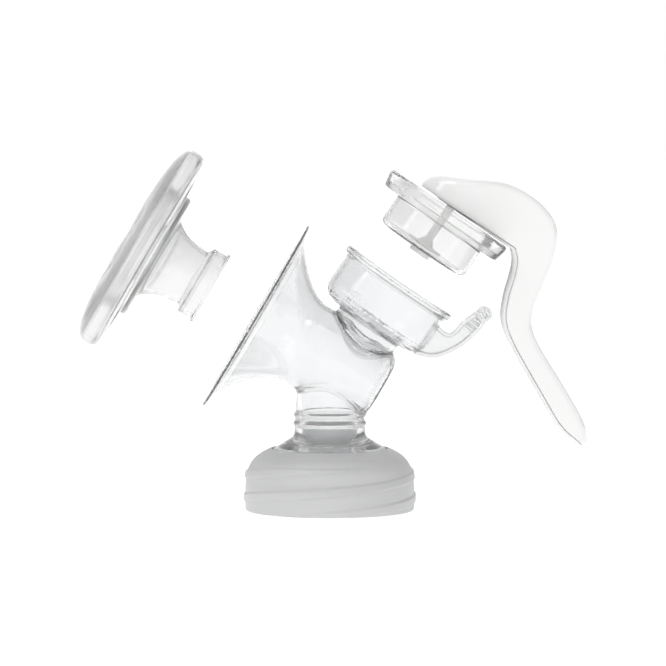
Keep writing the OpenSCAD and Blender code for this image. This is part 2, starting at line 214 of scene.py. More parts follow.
def smooth_line(points, steps=8):
    """Smooth open curve through points."""
    p = [np.array(point, float) for point in points]
    p = [2 * p[0] - p[1]] + p + [2 * p[-1] - p[-2]]
    line = []
    for a, b, c, d in zip(p, p[1:], p[2:], p[3:]):
        for u in np.linspace(0, 1, steps, endpoint=False):
            line.append(0.5 * (2 * b + (c - a) * u + (2 * a - 5 * b + 4 * c - d) * u ** 2
                               + (3 * b - a - 3 * c + d) * u ** 3))
    line.append(p[-2])
    return [tuple(point) for point in line]


def aside(line, by):
    """The same open curve moved to the right of its direction."""
    p = np.array(line)
    along = np.gradient(p, axis=0)
    along /= np.linalg.norm(along, axis=1)[:, None]
    return [tuple(q) for q in p + by * np.stack([along[:, 1], -along[:, 0]], axis=1)]


# ---------------------------------------------------------------------------
# Sculpting with distances: below zero is inside the material
# ---------------------------------------------------------------------------

def outline_distance(outline, u, v):
    nearest = np.full(np.shape(u), np.inf)
    inside = np.zeros(np.shape(u), bool)
    for (u0, v0), (u1, v1) in zip(outline, outline[1:] + outline[:1]):
        du, dv = u1 - u0, v1 - v0
        span = du * du + dv * dv
        if span < 1e-12:
            continue
        share = np.clip(((u - u0) * du + (v - v0) * dv) / span, 0, 1)
        nearest = np.minimum(nearest, (u - u0 - share * du) ** 2 + (v - v0 - share * dv) ** 2)
        if v0 != v1:
            inside ^= ((v0 > v) != (v1 > v)) & (u < u0 + (v - v0) * du / dv)
    return np.where(inside, -1.0, 1.0) * np.sqrt(nearest)


def join(a, b, fillet=0.0):
    """Union of two solids, with a fillet where they meet."""
    if fillet <= 0:
        return np.minimum(a, b)
    h = np.clip(0.5 + 0.5 * (b - a) / fillet, 0, 1)
    return b + (a - b) * h - fillet * h * (1 - h)


def meet(a, b, fillet=0.0):
    return -join(-a, -b, fillet)


def carve(solid, hollow, fillet=0.0):
    return meet(solid, -hollow, fillet)


def turned(outline, stand, points):
    """Distance to an outline turned about a stand's axis."""
    ring, rise = stand.ring_and_rise(points)
    return outline_distance(outline, ring, rise)


def rod(stand, radius, low, high, points):
    ring, rise = stand.ring_and_rise(points)
    return np.maximum(ring - radius, np.maximum(low - rise, rise - high))


def slopes(distance, points, step=0.02):
    out = np.empty_like(points)
    for axis in range(3):
        nudge = np.zeros(3)
        nudge[axis] = step
        out[:, axis] = distance(points + nudge) - distance(points - nudge)
    size = np.linalg.norm(out, axis=1)
    return out / (2 * step), np.where(size > 0, size, 1) / (2 * step)


def skin(distance, low, high, grain, stand=None):
    """Net of quads over the surface where the distance is zero.

    The solid is the same on both sides of y = 0, so only one side is measured.
    """
    stand = stand or post
    low, high = np.array(low, float), np.array(high, float)
    count = np.ceil((high - low) / grain).astype(int) + 1
    half = int(np.ceil(high[1] / grain)) + 1
    x = low[0] + grain * np.arange(count[0])
    y = grain * (np.arange(half) + 0.5)
    z = low[2] + grain * np.arange(count[2])
    field = np.empty((len(x), half, len(z)), np.float32)
    for j, across in enumerate(y):
        gx, gz = np.meshgrid(x, z, indexing="ij")
        spots = stand.place(gx.ravel(), np.full(gx.size, across), gz.ravel())
        field[:, j, :] = distance(spots).reshape(gx.shape)
    field = np.concatenate([field[:, ::-1, :], field], axis=1)
    y = np.concatenate([-y[::-1], y])
    solid = field < 0
    corners = [(a, b, c) for a in (0, 1) for b in (0, 1) for c in (0, 1)]
    cells = tuple(n - 1 for n in field.shape)

    def corner(grid, at):
        return grid[at[0]:at[0] + cells[0], at[1]:at[1] + cells[1], at[2]:at[2] + cells[2]]

    filled = sum(corner(solid, at).astype(np.int8) for at in corners)
    busy = np.argwhere((filled > 0) & (filled < 8))
    number = np.full(cells, -1, np.int64)
    number[tuple(busy.T)] = np.arange(len(busy))
    total = np.zeros((len(busy), 3))
    hits = np.zeros(len(busy))
    for a in corners:
        for b in corners:
            if sum(b) != sum(a) + 1 or any(q < p for p, q in zip(a, b)):
                continue
            fa = field[tuple((busy + a).T)].astype(float)
            fb = field[tuple((busy + b).T)].astype(float)
            cross = (fa < 0) != (fb < 0)
            share = np.where(cross, fa / np.where(cross, fa - fb, 1), 0)
            spot = np.array(a) + share[:, None] * (np.array(b) - np.array(a))
            total += np.where(cross[:, None], spot, 0)
            hits += cross
    at = busy + total / hits[:, None]
    starts = np.array([x[0], y[0], z[0]])
    spots = starts + at * grain
    verts = stand.place(spots[:, 0], spots[:, 1], spots[:, 2])
    faces = []
    for axis in range(3):
        one, two = [k for k in range(3) if k != axis]
        shift = [slice(None)] * 3
        ahead = [slice(None)] * 3
        shift[axis], ahead[axis] = slice(0, -1), slice(1, None)
        turn = solid[tuple(shift)] != solid[tuple(ahead)]
        edge = np.argwhere(turn)
        edge = edge[(edge[:, one] > 0) & (edge[:, two] > 0)
                    & (edge[:, one] < cells[one]) & (edge[:, two] < cells[two])]
        quad = []
        for d1, d2 in ((0, 0), (1, 0), (1, 1), (0, 1)):
            cell = edge.copy()
            cell[:, one] -= d1
            cell[:, two] -= d2
            quad.append(number[tuple(cell.T)])
        quad = np.stack(quad, axis=1)
        outward = solid[tuple(edge.T)] == (axis != 1)
        quad[~outward] = quad[~outward][:, ::-1]
        faces.append(quad)
    return verts, np.concatenate(faces)


def settle(distance, verts, turns=3, reach=0.6):
    """Moves vertices onto the true surface, and returns them with the surface's own normals."""
    for _ in range(turns):
        slope, size = slopes(distance, verts)
        move = distance(verts) / size ** 2
        verts = verts - slope * np.clip(move, -reach, reach)[:, None]
    slope, size = slopes(distance, verts, 0.05)
    return verts, slope / size[:, None]


# ---------------------------------------------------------------------------
# Pieces
# ---------------------------------------------------------------------------

def add_mesh(name, verts, faces, normals=None):
    """A new object from points in millimetres."""
    mesh = bpy.data.meshes.new(name)
    mesh.from_pydata((np.asarray(verts) * MM).tolist(), [], np.asarray(faces).tolist())
    mesh.validate()
    mesh.polygons.foreach_set("use_smooth", [True] * len(mesh.polygons))
    if normals is not None:
        mesh.normals_split_custom_set_from_vertices(normals.tolist())
    mesh.update()
    piece = bpy.data.objects.new(name, mesh)
    bpy.context.scene.collection.objects.link(piece)
    return piece


def sculpt(name, distance, low, high, grain, stand=None):
    verts, faces = skin(distance, low, high, grain, stand)
    verts, normals = settle(distance, verts)
    return add_mesh(name, verts, faces, normals)


def lathe(name, outline, stand, steps=160, shape=None):
    """A closed outline of (radius, rise) turned about a stand. shape may move each (radius, rise, angle)."""
    outline = np.array(outline, float)
    angle = np.linspace(0, 2 * math.pi, steps, endpoint=False)
    radius = np.repeat(outline[:, :1], steps, axis=1)
    rise = np.repeat(outline[:, 1:], steps, axis=1)
    if shape is not None:
        radius, rise = shape(radius, rise, angle[None, :])
    verts = stand.place(radius * np.cos(angle), radius * np.sin(angle), rise).reshape(-1, 3)
    i, j = np.meshgrid(np.arange(len(outline)), np.arange(steps), indexing="ij")
    k, m = (i + 1) % len(outline), (j + 1) % steps
    faces = np.stack([i * steps + j, i * steps + m, k * steps + m, k * steps + j], axis=-1).reshape(-1, 4)
    turn = np.sum(outline[:, 0] * np.roll(outline[:, 1], -1) - np.roll(outline[:, 0], -1) * outline[:, 1])
    if turn < 0:
        faces = faces[:, ::-1]
    piece = add_mesh(name, verts, faces)
    even_out(piece)
    return piece


def even_out(piece):
    """Merges points on the axis and weighs the normals by face size, so that flat faces look flat."""
    weld = piece.modifiers.new("weld", "WELD")
    weld.merge_threshold = 1e-6
    weighted = piece.modifiers.new("weighted", "WEIGHTED_NORMAL")
    weighted.mode = "FACE_AREA"
    weighted.weight = 80
    with bpy.context.temp_override(object=piece, active_object=piece, selected_objects=[piece]):
        for modifier in (weld.name, weighted.name):
            bpy.ops.object.modifier_apply(modifier=modifier)


def dress(piece, material, body, slot, *nodes):
    """Gives a piece its finish and its body, and hides the CAD nodes that it stands for."""
    if material.name not in piece.data.materials:
        piece.data.materials.append(material)
    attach(piece, body)
    if nodes:
        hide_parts(*nodes)
    return piece


# ---------------------------------------------------------------------------
# Finishes
# ---------------------------------------------------------------------------

def finish_of(name, colour, roughness, roughness_spread, bump, bump_size, **sockets):
    """Moulded surface: even colour, roughness and height that vary over fine noise."""
    material = bpy.data.materials.new(name)
    material.use_nodes = True
    nodes, links = material.node_tree.nodes, material.node_tree.links
    shader = nodes["Principled BSDF"]
    shader.inputs["Base Color"].default_value = (*colour, 1)
    for socket, value in sockets.items():
        shader.inputs[socket.replace("_", " ")].default_value = value
    place = nodes.new("ShaderNodeTexCoord")
    smear = nodes.new("ShaderNodeTexNoise")
    smear.inputs["Scale"].default_value = 55
    smear.inputs["Detail"].default_value = 4
    links.new(place.outputs["Object"], smear.inputs["Vector"])
    spread = nodes.new("ShaderNodeMapRange")
    spread.clamp = False
    spread.inputs["From Min"].default_value = 0.2
    spread.inputs["From Max"].default_value = 0.8
    spread.inputs["To Min"].default_value = max(roughness - roughness_spread, 0)
    spread.inputs["To Max"].default_value = roughness + roughness_spread
    links.new(smear.outputs["Fac"], spread.inputs["Value"])
    links.new(spread.outputs["Result"], shader.inputs["Roughness"])
    fine = nodes.new("ShaderNodeTexNoise")
    fine.inputs["Scale"].default_value = 1 / (bump_size * MM)
    fine.inputs["Detail"].default_value = 3
    links.new(place.outputs["Object"], fine.inputs["Vector"])
    height = nodes.new("ShaderNodeBump")
    height.inputs["Strength"].default_value = 1.0
    height.inputs["Distance"].default_value = bump * MM
    links.new(fine.outputs["Fac"], height.inputs["Height"])
    links.new(height.outputs["Normal"], shader.inputs["Normal"])
    return material


def clear_plastic(name, colour, clearness):
    return finish_of(name, colour, 0.02, 0.015, 0.004, 6.0, IOR=1.49, Transmission_Weight=clearness)


def frosted_plastic(colour):
    return finish_of("frosted_plastic", colour, 0.38, 0.02, 0.012, 0.35, IOR=1.49, Transmission_Weight=0.35)


def soft_silicone(name, colour, roughness, clearness, grain_height, grain_size):
    return finish_of(
        name, colour, roughness, 0.03, grain_height, grain_size, IOR=1.41, Transmission_Weight=clearness)


def valve_silicone():
    return finish_of("valve_silicone", (0.88, 0.88, 0.86), 0.42, 0.05, 0.01, 0.6, Subsurface_Weight=0.2)


def gloss_plastic(name, colour):
    return finish_of(name, colour, 0.16, 0.03, 0.003, 5.0, Coat_Weight=0.5, Coat_Roughness=0.04)


# ---------------------------------------------------------------------------
# Pump body
# ---------------------------------------------------------------------------

RIM_DEPTH = 1.9
HORN_LENGTH = 22.0
HORN_FLARE = 1.85
THROAT_RADIUS = 32.5
BARREL_LENGTH = 54.1
SLEEVE_END = 30.5
TAIL_RADIUS = 13.6
TAIL_CORNER = 4.5
STUB_DROP = 1.95
AIR_HOLE = 6.0
ARM_WIDTH = 6.4
PIN_RADIUS = 1.8
PIN_HALF = 6.2
BOSS_RADIUS = 2.83
SHOULDER = 20.2
FLANGE_FOOT = SHOULDER - 4.6
FLANGE_RADIUS = 26.2
BEAD_HEIGHTS = (32.3, 35.5)
BEAD_RADIUS = 0.9


def horn_line(barrel, depth):
    """Outside of the funnel from its rim to the barrel, or its inside at a depth below the surface."""
    line = []
    for u in np.linspace(0, 1, 25):
        radius = barrel + (THROAT_RADIUS - barrel) * (1 - u) ** HORN_FLARE
        fall = HORN_FLARE * (1 - u) ** (HORN_FLARE - 1)
        slope = (THROAT_RADIUS - barrel) * fall / (HORN_LENGTH - RIM_DEPTH)
        line.append((radius - depth * math.hypot(1, slope), RIM_DEPTH + (HORN_LENGTH - RIM_DEPTH) * u))
    return line


def tail_line(barrel, depth):
    """The barrel from its sleeve to the closed end, at a depth below the surface."""
    line = [(barrel - depth, SLEEVE_END)]
    for turn in np.linspace(0.05, math.pi / 2, 9):
        line.append((TAIL_RADIUS - TAIL_CORNER + (TAIL_CORNER - depth) * math.cos(turn),
                     BARREL_LENGTH - TAIL_CORNER + (TAIL_CORNER - depth) * math.sin(turn)))
    return line + [(-BEYOND, BARREL_LENGTH - depth)]


def arm_outline(cup_radius):
    under = smooth_line([(-2.4, -19.6), (4.2, -16.9), (8.4, -11.9), (11.4, -5.5), (12.9, 2), (12.6, 7)], 6)
    over = smooth_line([(8.7, 8.4), (7.2, 4.2), (5.8, 0), (5.2, -4.2), (3.4, -6.3), (-2.4, -5.4)], 6)
    return [(u + cup_radius, v) for u, v in under + over]


def arm_distance(cup_radius, points):
    out, across, up = cup_rim.local(points)
    wide = np.abs(across)
    side = outline_distance(arm_outline(cup_radius), out, up)
    web = np.maximum(side + 1.4, 1.0 - wide)
    arm = carve(meet(side, wide - ARM_WIDTH / 2, 0.5), web, 0.4)
    inner_rib = np.abs(np.mod(up + 0.9, 1.8) - 0.9) - 0.35
    stretch = np.maximum(np.abs(up - 1.6) - 2.7, wide - ARM_WIDTH / 2 + 0.5)
    ribs = np.maximum(np.maximum(inner_rib, side + 0.2), stretch)
    eye = np.hypot(out - PIVOT_REACH, up - PIVOT_RISE)
    boss = meet(eye - BOSS_RADIUS, wide - ARM_WIDTH / 2 - 0.2, 0.5)
    peg = meet(eye - PIN_RADIUS, wide - PIN_HALF, 0.4)
    dimple = np.maximum(eye - 0.7, PIN_HALF - 0.5 - wide)
    return carve(join(join(join(arm, ribs, 0.6), boss, 0.6), peg, 0.3), dimple, 0.2)


class PUMP_OT_body(bpy.types.Operator):
    """Sculpt the clear pump body: funnel, barrel, suction cup, neck and pivot arm in one moulding"""
    bl_idname = "breast_pump.body"
    bl_label = "Pump Body"

    def execute(self, context):
        sizes = context.scene.breast_pump.body
        barrel, wall = sizes.barrel_radius / MM, sizes.wall / MM
        funnel, cup = sizes.funnel_radius / MM, sizes.cup_radius / MM
        depth, neck = sizes.cup_depth / MM, sizes.neck_radius / MM
        cup_wall = wall + 0.3
        bore = neck - wall - 0.3
        stub = cup * 0.6
        rim = [
            (-BEYOND, 0), (funnel, 0), (funnel, 0.8), (funnel - 2.4, RIM_DEPTH - 0.6),
            (THROAT_RADIUS + 0.9, RIM_DEPTH - 0.1)]
        outside = rim + horn_line(barrel, 0) + tail_line(barrel, 0)
        throat = THROAT_RADIUS - 0.9
        inside = [(-BEYOND, -BEYOND), (throat, -BEYOND), (throat, 0.2)]
        inside += horn_line(barrel, wall)[1:] + tail_line(barrel, wall)
        cup_outside = rounded([
            (-BEYOND, 0, 0), (cup + 1.5, 0, 0.8), (cup + 1.5, -2.1, 0.6), (cup, -2.9, 0.5),
            (cup, -depth, 6.5),
            (-BEYOND, -depth, 0)])
        cup_inside = rounded([
            (-BEYOND, BEYOND, 0), (cup - cup_wall, BEYOND, 0), (cup - cup_wall, cup_wall - depth, 4.5),
            (-BEYOND, cup_wall - depth, 0)])
        neck_outside = rounded([
            (-BEYOND, FLANGE_FOOT, 0), (FLANGE_RADIUS, FLANGE_FOOT, 0.4),
            (FLANGE_RADIUS, SHOULDER - 3.2, 0.4),
            (25.4, SHOULDER - 2.1, 0.4),
            (21, SHOULDER, 0.4), (21, SHOULDER + 2.5, 0.6), (17.2, SHOULDER + 4.9, 2.5),
            (neck + 1.3, SHOULDER + 7, 2.0), (neck + 0.9, SHOULDER + 9, 1.0), (neck, SHOULDER + 24, 4.0),
            (neck, CROSS_HEIGHT, 0), (-BEYOND, CROSS_HEIGHT, 0)])
        neck_inside = rounded([
            (-BEYOND, 0, 0), (24.4, 0, 0), (24.4, FLANGE_FOOT, 0), (19.1, SHOULDER - 2.2, 1.0),
            (19.1, SHOULDER + 1.2, 1.0),
            (14.4, SHOULDER + 3.5, 1.0), (bore + 1.5, SHOULDER + 1.5, 0.4), (bore, SHOULDER + 1.5, 0.4),
            (bore, CROSS_HEIGHT, 0), (-BEYOND, CROSS_HEIGHT, 0)])

        def beads(points):
            ring, rise = post.ring_and_rise(points)
            girth = neck + 0.9 * np.clip((44.2 - rise) / 15, 0, 1)
            across = ring - girth + 0.25
            lower, upper = [np.hypot(across, rise - height) - BEAD_RADIUS for height in BEAD_HEIGHTS]
            return join(lower, upper)

        def distance(points):
            pipe = turned(outside, funnel_rim, points)
            dish = turned(cup_outside, cup_rim, points)
            foot = rod(cup_rim, stub, -depth - barrel, -depth + 1, points)
            trunk = join(turned(neck_outside, post, points), beads(points), 0.5)
            solid = join(join(pipe, join(dish, foot, 1.0), 1.0), trunk, 1.4)
            hollow = join(turned(inside, funnel_rim, points), turned(neck_inside, post, points))
            hollow = join(hollow, turned(cup_inside, cup_rim, points))
            hollow = join(hollow, rod(cup_rim, AIR_HOLE, -depth - STUB_DROP - barrel, -depth + 5, points))
            chamber = np.maximum(rod(cup_rim, stub - cup_wall, -depth - barrel, -depth, points), 0.2 - pipe)
            return carve(solid, join(hollow, chamber), 0.5)

        reach = funnel + 2
        piece = sculpt("pump_body", distance, (-48, -reach, 14), (62, reach, 108), sizes.grain / MM)
        material = clear_plastic("clear_plastic", sizes.colour, 0.93)
        dress(piece, material, "body", "clear_plastic", "funnel", "barrel", "suction_cup", "neck")

        def arm(points):
            return carve(arm_distance(cup, points), turned(cup_outside, cup_rim, points) - 0.02, 0.1)

        piece = sculpt("pump_arm", arm, (cup - 3, -9, -22), (cup + 16, 9, 14), sizes.arm_grain / MM, cup_rim)
        material = clear_plastic("clear_plastic_arm", sizes.colour, 0.75)
        dress(piece, material, "body", "clear_plastic", "pivot_arm")
        return {"FINISHED"}


# ---------------------------------------------------------------------------
# Screw ring and valve
# ---------------------------------------------------------------------------

RIDGE_STARTS = 2
RIDGE_LEAD = 17.3
RIDGE_PHASE = 6.35
RIDGE_ANGLE = math.radians(-149.6)


class PUMP_OT_ring(bpy.types.Operator):
    """Turn the frosted screw ring, with its grip ridges winding round it and the thread inside"""
    bl_idname = "breast_pump.ring"
    bl_label = "Screw Ring"

    def execute(self, context):
        sizes = context.scene.breast_pump.ring
        radius, height = sizes.radius / MM, sizes.height / MM
        socket, stand_out = sizes.socket_radius / MM, sizes.ridge / MM
        inner = socket - 0.3
        outside = smooth_line([
            (radius - 0.05, 1.0), (radius, 6), (radius - 0.1, 10), (radius - 0.6, 14), (radius - 1.7, 16.9),
            (radius - 3.6, 19.5), (radius - 6.0, 21.3), (radius - 9.0, height - 0.35)], 14)
        lower = [(socket, 0.5), (socket + 0.5, 0.0), (radius - 0.7, 0.0), (radius - 0.2, 0.35)]
        upper = rounded([
            (21.5, height, 0.5), (21.4, SHOULDER + GAP, 0.3), (inner - 2.4, SHOULDER + GAP - 2.1, 0.6),
            (inner, 15, 0.8), (inner, 4.4, 0.2), (socket, 4.1, 0.2)], 4)
        upper = upper[1:]
        outline = lower + outside + upper

        def ridged(ring, rise, angle):
            turn = (angle - RIDGE_ANGLE) / (2 * math.pi)
            spacing = RIDGE_LEAD / RIDGE_STARTS
            place = rise - RIDGE_PHASE - turn * RIDGE_LEAD
            place = np.abs((place + spacing / 2) % spacing - spacing / 2)
            half = 1.25
            bump = np.clip((half + 0.45 - place) / 0.45, 0, 1)
            bump = bump * bump * (3 - 2 * bump)
            low = np.clip((rise - 0.6) / 1.2, 0, 1)
            high = np.clip((height - 2.2 - rise) / 2.5, 0, 1)
            outer = ring > inner + 1.0
            outer &= rise > 0.3
            return ring + stand_out * bump * low * high * outer, rise

        dense = []
        for a, b in zip(outline, outline[1:] + outline[:1]):
            pieces = max(1, int(math.dist(a, b) / 0.35)) if a[0] > inner + 1 and b[0] > inner + 1 else 1
            for k in range(pieces):
                share = k / pieces
                dense.append((a[0] + (b[0] - a[0]) * share, a[1] + (b[1] - a[1]) * share))
        piece = lathe("grip_ring", dense, post, 360, ridged)
        dress(piece, frosted_plastic(sizes.colour), "ring", "frosted_plastic", "screw_ring")
        thread_ring(inner, piece.data.materials[0])
        return {"FINISHED"}


def thread_ring(inner, material):
    """The bottle thread inside the ring: one ridge that climbs a little more than a turn."""
    pitch, crest, turns, steps = 4.0, 27.1, 1.2, 200
    section = [(inner + 0.3, -1.3), (crest + 0.25, -0.5), (crest, -0.2), (crest, 0.2), (crest + 0.25, 0.5),
               (inner + 0.3, 1.3)]
    verts, faces = [], []
    for k in range(steps + 1):
        along = k / steps
        angle = along * turns * 2 * math.pi
        fade = min(1.0, along * 12, (1 - along) * 12)
        for radius, rise in section:
            radius = inner + 0.3 - (inner + 0.3 - radius) * fade
            climb = 7 + along * turns * pitch + rise * max(fade, 0.3)
            verts.append((radius * math.cos(angle), radius * math.sin(angle), climb))
    size = len(section)
    for k in range(steps):
        for i in range(size):
            a, b = k * size + i, k * size + (i + 1) % size
            faces.append((a, a + size, b + size, b))
    faces += [tuple(range(size)), tuple(range(steps * size + size - 1, steps * size - 1, -1))]
    mesh = bpy.data.meshes.new("ring_thread")
    mesh.from_pydata((np.array(verts) * MM).tolist(), [], faces)
    mesh.validate()
    mesh.polygons.foreach_set("use_smooth", [True] * len(mesh.polygons))
    piece = bpy.data.objects.new("ring_thread", mesh)
    bpy.context.scene.collection.objects.link(piece)
    dress(piece, material, "ring", "frosted_plastic")


class PUMP_OT_valve(bpy.types.Operator):
    """Sculpt the white one-way valve with its flat bill"""
    bl_idname = "breast_pump.valve"
    bl_label = "Valve"

    def execute(self, context):
        bore = context.scene.breast_pump.body.neck_radius / MM - 1.8
        seat = SHOULDER + 1.5
        top = rounded([
            (-BEYOND, -1.5, 0), (bore + 1.6, -1.5, 0.3), (bore + 1.6, 0, 0.3), (bore - 0.1, 0.05, 0.2),
            (bore - 0.1, 8.8, 0.6),
            (-BEYOND, 8.8, 0)])
        seat_stand = post.moved(up=seat)

        def distance(points):
            x, y, z = seat_stand.local(points)
            ring = np.hypot(x, y)
            cap = outline_distance(top, ring, z)
            well = np.maximum(ring - (bore - 1.6), 1.0 - z)
            down = np.clip((-1.5 - z) / 14, 0, 1)
            half = 8.3 - (8.3 - 0.9) * down
            bill = meet(np.abs(x) - half, np.maximum(ring - 8.7, np.maximum(z + 1, -15.5 - z)), 0.5)
            room = np.maximum(np.abs(x) - (half - 0.7), np.maximum(ring - 7.6, z - 2))
            return carve(carve(join(cap, bill, 0.4), well, 0.3), room, 0.2)

        piece = sculpt("valve", distance, (-13, -13, 5), (13, 13, 32), 0.5)
        dress(piece, valve_silicone(), "body", "valve_silicone", "duckbill_valve")
        return {"FINISHED"}


# ---------------------------------------------------------------------------
# Massage cushion
# ---------------------------------------------------------------------------

class PUMP_OT_cushion(bpy.types.Operator):
    """Turn the soft massage cushion, with petals round its mouth and a back edge for the funnel's rim"""
    bl_idname = "breast_pump.cushion"
    bl_label = "Massage Cushion"

    def execute(self, context):
        sizes = context.scene.breast_pump.cushion
        r, mouth, w = sizes.radius / MM, sizes.mouth_radius / MM, sizes.wall / MM
        step, tunnel, tail = 24.6, 9.4, 14.3
        outline = rounded([
            (mouth, -6.6, 0.8), (mouth + 2, -7.4, 1.5), (29, -6.6, 3), (36, -5.1, 2),
            (r - 1.6, -3.6, 2), (r, -1.6, 1.5),
            (r - 0.1, 2.2, 1.0), (r - 1.5, 3.9, 0.8), (31.7, 4.8, 0.5), (31.5, 4.1, 0.4), (r - 1.7, 3.0, 0.6),
            (r - 1.7, -1.6, 1.0), (35.5, -5 + w, 1.5), (step + 1.6, -3.6, 1.2), (step, 1.2, 1.0),
            (step, 7.4, 1.6),
            (mouth + 2.6, 7.6, 2.0), (tunnel + 2.6, 13.2, 3), (tunnel + 1.4, 22.2, 1.0),
            (tail - 1, 23.4, 0.5), (tail - 1, 28.9, 0.4), (tail, 29.2, 0.3), (tail, 30.1, 0.3),
            (tunnel + 2.4, 30.1, 0.4), (tunnel + 2.4, 24.6, 0.8), (tunnel, 22.2, 1.0),
            (tunnel + 1.1, 13.2, 3),
            (mouth, 7.2, 1.0), (step - w, 5.6, 1.2), (step - w, -4.2, 1.2), (mouth + 2, -7.4 + w, 1.0),
            (mouth, -5.8, 0.6)])
        count = sizes.petals

        def petals(ring, rise, angle):
            wave = 0.5 + 0.5 * np.cos(count * angle)
            share = np.clip((ring - mouth) / 3, 0, 1) * np.clip((30 - ring) / 6, 0, 1) * (rise < -3)
            return ring, rise + 0.9 * (1 - wave) ** 3 * share

        piece = lathe("soft_cushion", outline, cushion_face, 200, petals)
        material = soft_silicone("cushion_silicone", sizes.colour, 0.14, 0.88, 0.03, 1.5)
        nodes = ("massage_cushion", "cushion_sleeve", "cushion_lip")
        dress(piece, material, "cushion", "cushion_silicone", *nodes)
        return {"FINISHED"}


# ---------------------------------------------------------------------------
# Diaphragm and stem
# ---------------------------------------------------------------------------

class PUMP_OT_diaphragm(bpy.types.Operator):
    """Turn the diaphragm: a thick ring with a channel for the cup's rim, and a thin cup"""
    bl_idname = "breast_pump.diaphragm"
    bl_label = "Diaphragm"

    def execute(self, context):
        sizes = context.scene.breast_pump.diaphragm
        cup = context.scene.breast_pump.body.cup_radius / MM
        bore, outer, high = cup - 4.3, cup + 3.9, sizes.ring_height / MM
        deep, thin = sizes.depth / MM, sizes.membrane / MM
        roof = SEAL_GRIP + GAP
        ring = rounded([
            (bore, 0, 0.4), (cup - 1.8 - GAP, 0, 0.4), (cup - 1.8 - GAP, roof, 0.4),
            (cup + 1.5 + GAP, roof, 0.4),
            (cup + 1.5 + GAP, 0, 0.3), (outer - 0.7, 0, 0.5), (outer, high - 3.6, 0.5),
            (outer + 0.3, high - 1.2, 0.6),
            (outer - 0.4, high, 0.7), (bore + 0.6, high, 0.7), (bore, high - 1.5, 0.6)])
        material = soft_silicone("diaphragm_silicone", sizes.colour, 0.06, 0.9, 0.006, 3.0)
        piece = lathe("seal_ring", ring, seal, 200)
        dress(piece, material, "diaphragm", "diaphragm_silicone", "diaphragm_ring")
        reach = cup - 3.1
        hole = 1.76
        cup_line = rounded([
            (reach - thin, 0.0, 0), (reach, 0.0, 0), (reach, -deep, 3.0), (6.5, -deep, 0.8),
            (5.4, -deep, 0.3),
            (hole, -deep, 0), (hole, thin - deep, 0), (reach - thin, thin - deep, 2.0)], 8)
        dense = []
        for a, b in zip(cup_line, cup_line[1:] + cup_line[:1]):
            pieces = max(1, int(math.dist(a, b) / 1.0))
            for k in range(pieces):
                dense.append(tuple(np.array(a) + (np.array(b) - np.array(a)) * k / pieces))
        membrane = lathe("diaphragm_cup", dense, seal, 144)
        membrane.data.materials.append(material)
        start = seal.moved(up=-1.0).origin * MM
        end = seal.moved(up=1.0 - deep).origin * MM
        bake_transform(membrane)
        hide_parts("diaphragm_membrane")
        return {"FINISHED"}


class PUMP_OT_stem(bpy.types.Operator):
    """Turn the white stem: foot, plate, rod and the ball that the handle lifts"""
    bl_idname = "breast_pump.stem"
    bl_label = "Stem"

    def execute(self, context):
        sizes = context.scene.breast_pump.diaphragm
        deep, thin, ball = sizes.depth / MM, sizes.membrane / MM, sizes.ball / MM
        shaft, slip = 1.7, 0.1
        low, floor = -deep - slip, -deep + thin + slip
        top = sizes.ring_height / MM + 2.4 + 0.85 + ball
        dome = [(ball * math.cos(a), top + ball * math.sin(a)) for a in np.linspace(-0.9, math.pi / 2, 14)]
        outline = rounded([
            (0, low - 1.7, 0), (4.2, low - 1.7, 0.4), (4.2, low, 0.3), (shaft, low, 0), (shaft, floor, 0),
            (7, floor, 0.3), (7, floor + 1.3, 0.5), (shaft + 1.6, floor + 1.4, 0.8),
            (shaft, floor + 4.3, 1.0)]) + dome
        outline[-1] = (0, top + ball)
        piece = lathe("lift_stem", outline, seal, 96)
        dress(piece, gloss_plastic("stem_plastic", (0.95, 0.95, 0.945)), "plunger", "stem_plastic", "stem")
        return {"FINISHED"}


# ---------------------------------------------------------------------------
# Handle
# ---------------------------------------------------------------------------

UNDER = -2.6
SEAM = 0.6
EDGE_ROUND = 2.6
RIB_THICKNESS = 2.4
SLOT_SLACK = 0.06
# How far the ribs, and the opening for the arm, run down the palm side
RIB_END = -17.0
WINDOW_END = -34.0
# Where the hollow of the grip stops, and where its tip starts to round off
HOLLOW_END = 53.0
TIP_START = 50.6
BACK_POINTS = [
    (-46.9, UNDER), (-46.3, 0.4), (-44.6, 3.0), (-41.5, 5.4), (-33, 9.8), (-21, 16.3), (-8, 17.7),
    (2.5, 14.4), (8.2, 6.2), (11.4, -6), (14.2, -17.3), (20.5, -24.5), (38.8, -33), (52.1, -39.5),
    (57.9, -44.8), (58.1, -47.6)]
PALM_POINTS = [
    (54.7, -48.5), (45.5, -47), (31, -40.4), (14, -32), (6.5, -26.4), (2.3, -19), (-0.6, -10.5), (-2.9, -5.6),
    (-5.9, UNDER)]


def handle_fields(sizes):
    """Distances of the handle's side and plan outlines, as functions of points round the pin."""
    dome, grip = sizes.dome_radius / MM, sizes.grip_width / MM
    back = smooth_line(BACK_POINTS, 6)
    palm = smooth_line(PALM_POINTS, 6)

    def side(out, up, strip=0.0):
        edge = aside(palm, strip) if strip else palm
        return outline_distance(back + edge, out, up)

    def plan(out, across):
        wide = np.abs(across)
        round_end = np.hypot(out + PIVOT_REACH, across) - dome
        waist = grip / 2 - 0.9 * np.exp(-((out - 16) / 16) ** 2)
        band = np.maximum(wide - waist, np.maximum(-PIVOT_REACH - out, out - 60))
        tip = np.hypot(np.maximum(out - TIP_START, 0), across) - grip / 2
        band = np.where(out > TIP_START, tip, band)
        return join(round_end, band, 6.0)

    return side, plan


